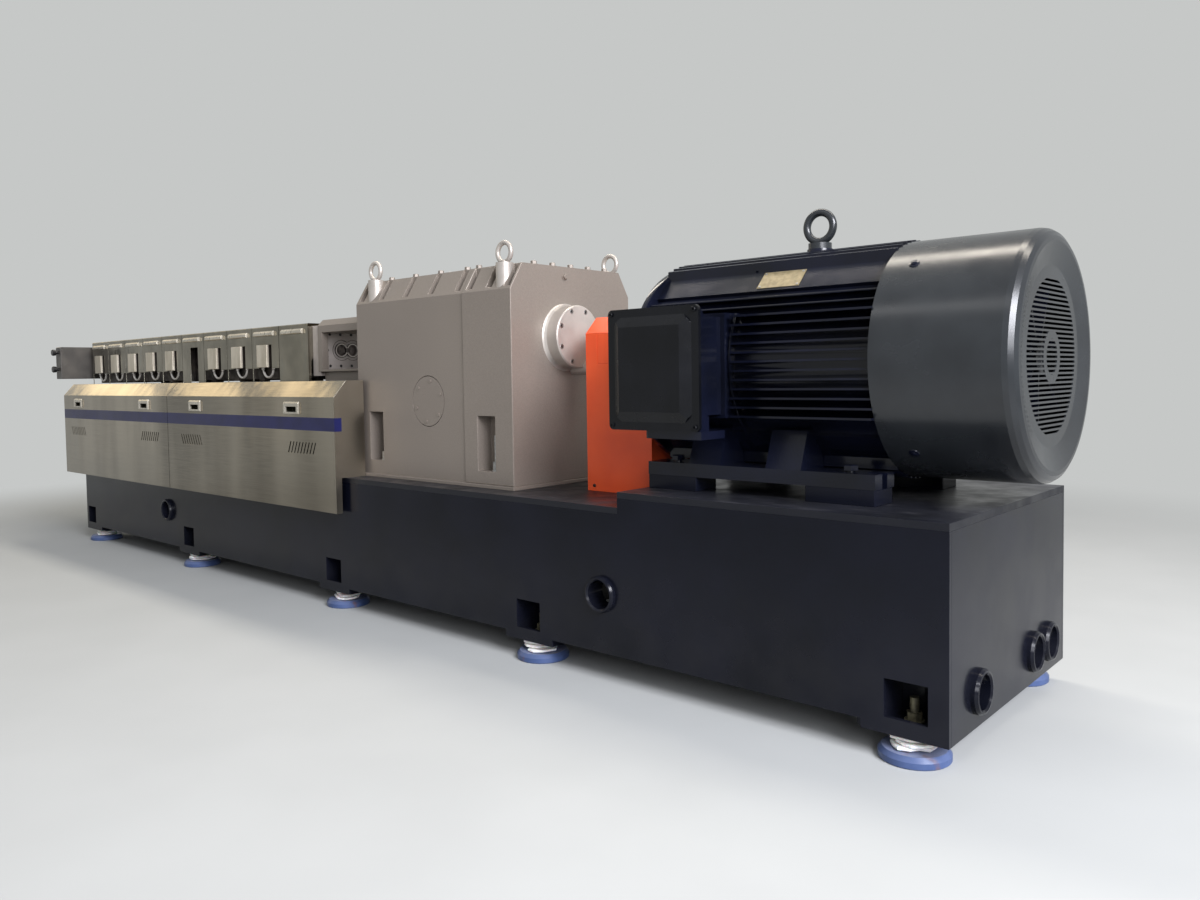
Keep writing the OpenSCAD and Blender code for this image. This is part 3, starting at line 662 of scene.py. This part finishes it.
def lantern_flange_bolts():
    """Dark bolts and tapped holes round the bores, in two rows of four and three at each side; the tapped
    holes are dark rings as painted shade.
    """
    mesh = bmesh.new()
    spots = [(y, z, 7) for y in (-98, -38, 24, 84) for z in (-78, 78)]
    spots += [(y, z, r) for y in (-114, 114) for z, r in ((36, 5.5), (0, 9), (-32, 6.5))]
    for y, z, r in spots:
        # The tapped holes get the same dark rings as the bolts: painted shade of the holes.
        rim = [(r, 0), (r, 1.2), (r * 0.55, 1.2), (r * 0.55, 0.4)]
        lathe(mesh, rim, facing((FLANGE_X, y, SCREW_Z + z), TO_MOTOR), 16)
    piece("lantern_flange_bolts", mesh, "black_plastic")


def arc_ring(mesh, side, x, inner, outer, height):
    """A flat ring round one screw, open where it would cross the other screw's ring."""
    cut = math.acos(SCREW_Y / outer)
    steps = 48
    section = (inner, 0), (outer, 0), (outer, height), (inner, height)
    rings = []
    for i in range(steps + 1):
        a = -side * math.pi / 2 + cut + (2 * math.pi - 2 * cut) * i / steps
        spots = [(x + h, side * SCREW_Y + r * math.sin(a), SCREW_Z + r * math.cos(a)) for r, h in section]
        rings.append([mesh.verts.new(at(*spot)) for spot in spots])
    join_rings(mesh, rings)


def bore_liners():
    """Bright liner rims round the two bores, with the dark joint round them and a line further out."""
    rims, joints = bmesh.new(), bmesh.new()
    for side in (-1, 1):
        arc_ring(rims, side, FLANGE_X - 3.2, 28, 34.4, 3.8)
        arc_ring(joints, side, FLANGE_X - 2, 34.4, 37, 2.3)
        arc_ring(joints, side, FLANGE_X - 0.4, 49.6, 51.6, 0.8)
    piece("bore_liners", rims, "machined_steel")
    piece("liner_joints", joints, "dark_steel")


# Pieces of the drive


def motor_bolts():
    """Low heads that hold the motor's feet to the packing blocks."""
    mesh = bmesh.new()
    foot_y, foot_top, shank = 240, 708.5, 5.5
    for x in (-356, -960):
        for side in (-1, 1):
            lathe(mesh, [(12, 0), (12, 8)], facing((x, side * foot_y, foot_top), UP), 16)
            hex_bolt(mesh, facing((x, side * foot_y, foot_top + shank), UP), 44, 16, False)
    piece("motor_bolts", mesh, "motor_paint")


def trim_ring():
    """Takes off the drive-end ring where it would stand proud of the sloped shoulders."""
    mesh = bmesh.new()
    ring_x, ring_r = (-716.6, -707.4), 293.6
    turns = [math.radians(a) for a in range(31, 46, 2)]
    shoulder = [(252.5, 150)] + [(ring_r * math.cos(a), ring_r * math.sin(a)) for a in turns]
    shoulder += [(215.3, 217.3), (150.3, 282.3)]
    outline = shoulder + [(170, 310), (330, 310), (330, 150)]
    for side in (-1, 1):
        ends = [[mesh.verts.new(at(x, side * y, AXIS_Z + z)) for y, z in outline] for x in ring_x]
        for k in range(len(outline)):
            j = (k + 1) % len(outline)
            mesh.faces.new((ends[0][k], ends[0][j], ends[1][j], ends[1][k]))
        mesh.faces.new(ends[0])
        mesh.faces.new(ends[1][::-1])
    bmesh.ops.recalc_face_normals(mesh, faces=mesh.faces)
    cutter = new_object("ring_cutter", mesh)
    cutter.hide_render = True
    made = nodes["motor_frame"]
    cut = made.modifiers.new("trim", "BOOLEAN")
    cut.object = cutter
    cut.operation = "DIFFERENCE"
    cut.solver = "EXACT"
    made.modifiers.move(made.modifiers.find("trim"), 1)


def upper_fins():
    """Two fins above the modelled ones on each side, running past the terminal box."""
    mesh = bmesh.new()
    x0, x1, root, half = -1058, -262, 190, 3
    for side in (-1, 1):
        for z, reach in ((166, 272), (193, 254)):
            y0, y1 = sorted((side * reach, side * root))
            block(mesh, (x0, y0, AXIS_Z + z - half), (x1, y1, AXIS_Z + z + half))
    fins = piece("upper_fins", mesh, "motor_paint", smooth=False)
    soften(fins, EDGES["motor_frame"])


def cowl_screws():
    """Four stepped heads that hold the cowl to the frame."""
    mesh = bmesh.new()
    screw_x = -177
    for a in (48, 132, 228, 312):
        out = Vector((0, math.cos(math.radians(a)), math.sin(math.radians(a))))
        spot = (screw_x, out.y * COWL_R, AXIS_Z + out.z * COWL_R)
        lathe(mesh, [(15, 0), (14, 2), (8, 3), (8, 5), (5, 6.5)], facing(spot, out), 20)
    piece("cowl_screws", mesh, "motor_paint")


def lid_screws():
    """One cap screw at each corner of the terminal box lid."""
    mesh = bmesh.new()
    rim_y = -481
    for x in (-1031, -717):
        for z in (837, 1176):
            socket_bolt(mesh, facing((x, rim_y, z), (0, -1, 0)), 7, 6)
    piece("lid_screws", mesh, "box_paint")


def nameplate_rivets():
    """Four rivets on the plate that lies on the motor's sloped shoulder."""
    mesh = bmesh.new()
    slope = math.radians(45)
    middle = Vector((-608, -182.5, AXIS_Z + 249.5))
    out = Vector((0, -math.sin(slope), math.cos(slope)))
    up = Vector((0, math.cos(slope), math.sin(slope)))
    for x in (-64, 64):
        for v in (-29, 29):
            spot = middle + Vector((x, 0, 0)) + up * v + out * 2
            lathe(mesh, [(4, 0), (3.6, 1.2), (2, 1.9)], facing(spot, out), 14)
    piece("nameplate_rivets", mesh, "zinc_steel")


def guard_screws():
    """Two screws low on each side of the coupling guard."""
    mesh = bmesh.new()
    guard_half, screw_z = 160, 592
    for x in (-1402, -1170):
        for side in (-1, 1):
            socket_bolt(mesh, facing((x, side * guard_half, screw_z), (0, side, 0)), 6, 4)
    piece("guard_screws", mesh, "black_plastic")


# Soft and bent pieces that take the place of plain CAD ones


def cable_conduits():
    """A ribbed loop under each junction box, with a nut at each end and a gland into the barrel."""
    mesh = bmesh.new()
    box_middle, box_y, reach, hang, steps = 136, 164, 54, 52, 40
    turns = [math.pi * k / steps for k in range(steps + 1)]
    for i in (1, 2, 3, 5, 6, 7, 8, 9):
        middle = BARREL_X - i * BARREL_PITCH - box_middle
        for side in (-1, 1):
            y = side * box_y
            loop = [(middle - reach * math.cos(t), y, BOX_Z - hang * math.sin(t)) for t in turns]
            tube(mesh, loop + [(middle + reach, y, BOX_Z + 6 * k) for k in range(1, 5)], 5, 10, 1.2)
            for x in (-reach, reach):
                lathe(mesh, [(9, 0), (9, 9), (6.5, 12)], facing((middle + x, y, BOX_Z), (0, 0, -1)), 6)
            lathe(mesh, [(8, 0), (8, 52)], facing((middle + reach, y, BOX_Z + 26), (0, -side, 0)), 16)
    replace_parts(piece("cable_conduits", mesh, "cable"), "cable_loops")


def foam_layer(mesh, dice, x, y, z, reach):
    """One torn sheet of foam round a stud, with an uneven edge and a slight wave."""
    drift = Vector((dice.uniform(-4, 4), dice.uniform(-4, 4)))
    start = dice.uniform(0, 6.28)
    steps = 14
    rings = [[] for _ in range(6)]
    for i in range(steps):
        a = 2 * math.pi * i / steps
        edge = reach + 8 * math.sin(2 * a + start) + dice.uniform(-7, 7)
        lift = 1.2 * math.sin(3 * a + start)
        section = (23, 1.4), (edge - 3, 1.4), (edge, 3.6), (edge, 8), (edge - 3, 10.6), (23, 10.6)
        for ring, (r, h) in zip(rings, section):
            spot = at(x + drift.x + r * math.cos(a), y + drift.y + r * math.sin(a), z + h + lift)
            ring.append(mesh.verts.new(spot))
    join_rings(mesh, rings + rings[:1], (False, False))


def crumpled_foam():
    """Layers of torn foam sheet wrapped round each stud under the legs."""
    mesh = bmesh.new()
    dice = random.Random(11)
    stud_y, pad_top, sheet, reach = 400, 31, 11.4, 60
    for x in (-116, -1470, -2692, -4095, -5424):
        for side in (-1, 1):
            for layer in range(3):
                y = BASE_MID + side * stud_y
                foam_layer(mesh, dice, x, y, pad_top + layer * sheet, reach - layer * 3)
    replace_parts(piece("crumpled_foam", mesh, "foam", smooth=False), "foam_wraps")


# Scene, with the stage in metres


def stage():
    """A pale floor that curves up into a backdrop behind the machine."""
    mesh = bmesh.new()
    flat, bend, rise, rim_step = 12, 4, 14, 0.5
    turns = [math.radians(a) for a in range(0, 91, 6)]
    curve = [(flat + bend * math.sin(a), bend - bend * math.cos(a)) for a in turns] + [(flat + bend, rise)]
    level = [(flat + rim_step * k, 0) for k in range(len(curve))]
    rings = []
    for degrees in range(0, 361, 3):
        a = math.radians(degrees)
        spots = [(0.01, 0)] + (curve if 50 < degrees < 202 else level)
        rings.append([mesh.verts.new((r * math.cos(a), r * math.sin(a), h)) for r, h in spots])
    for low, high in zip(rings, rings[1:]):
        for k in range(len(low) - 1):
            mesh.faces.new((low[k], low[k + 1], high[k + 1], high[k]))
    floor = new_object("floor", mesh)
    floor.data.shade_smooth()
    floor.data.materials.append(floor_paint())


def lamp(name, place, target, size, power, tone="#ffffff"):
    """An area lamp at a place that looks at a target, both in mm; its size is in metres."""
    data = bpy.data.lights.new(name, "AREA")
    data.shape = "RECTANGLE"
    data.size, data.size_y = size
    data.energy = power
    data.color = colour(tone)[:3]
    made = bpy.data.objects.new(name, data)
    bpy.context.scene.collection.objects.link(made)
    made.location = at(*place)
    made.rotation_euler = (at(*target) - made.location).to_track_quat("-Z", "Y").to_euler()


def light():
    """A soft pale world, strips overhead, daylight at the motor end, and far lamps that the doors mirror."""
    world = bpy.data.worlds.new("studio")
    bpy.context.scene.world = world
    world.use_nodes = True
    world.node_tree.nodes.clear()
    sky = add(world, "ShaderNodeBackground", values={"Color": colour("#eef0f2"), "Strength": 0.4})
    shown = add(world, "ShaderNodeBackground", values={"Color": colour(PALE), "Strength": 1.0})
    shares = {0: (seen_plainly(world), 0), 1: (sky, 0), 2: (shown, 0)}
    mix = add(world, "ShaderNodeMixShader", links=shares)
    add(world, "ShaderNodeOutputWorld", links={"Surface": (mix, 0)})
    lamp("ceiling", (-2200, 1350, 5600), (-2200, 200, 600), (9, 0.8), 260, "#fff6e8")
    lamp("front", (-2700, -4300, 5600), (-2700, -200, 900), (9, 0.9), 50)
    lamp("daylight", (5600, -2500, 4800), (-1600, 0, 1000), (4, 3), 1260, "#f6f7ff")
    lamp("fill", (4200, -4700, 2600), (-1600, -200, 900), (3, 2), 185, "#f6f7ff")
    for z in (3200, 4300, 5500):
        lamp("far_strip", (-11000, -950, z), (-4100, -460, 950), (1.6, 0.7), 8, "#ffe3ae")
    for y, power in ((-2500, 0.5), (-4500, 0.7)):
        lamp("far_panel", (-10500, y, 1600), (-4000, -490, 700), (0.7, 3), power, "#fff0d8")


def camera():
    """The photo's own camera, from a fit on its long straight edges."""
    photo_width, photo_height, focal_px, middle_px, sensor = 1200, 900, 925.339, 417.09, 36
    yaw, pitch, roll = (math.radians(v) for v in (131.77, -2.55, -0.871))
    fwd = Vector((math.cos(pitch) * math.cos(yaw), math.cos(pitch) * math.sin(yaw), math.sin(pitch)))
    right = Vector((math.sin(yaw), -math.cos(yaw), 0))
    up = right.cross(fwd)
    side = right * math.cos(roll) + up * math.sin(roll)
    top = up * math.cos(roll) - right * math.sin(roll)
    data = bpy.data.cameras.new("camera")
    data.lens = focal_px * sensor / photo_width
    data.shift_x = -0.001
    data.shift_y = (middle_px - photo_height / 2) / photo_width
    made = bpy.data.objects.new("camera", data)
    bpy.context.scene.collection.objects.link(made)
    turn = Matrix((side, top, -fwd)).transposed().to_4x4()
    made.matrix_world = Matrix.Translation(at(849.5, -2640, 989.2)) @ turn
    bpy.context.scene.camera = made


finish_frame()
blue_stripe()
thrust_cover_bolts()
gearbox_bolts()
lantern_flange_bolts()
bore_liners()
trim_ring()
upper_fins()
motor_bolts()
cowl_screws()
lid_screws()
nameplate_rivets()
guard_screws()
cable_conduits()
crumpled_foam()
stage()
light()
camera()
bpy.context.scene.view_settings.view_transform = "Standard"
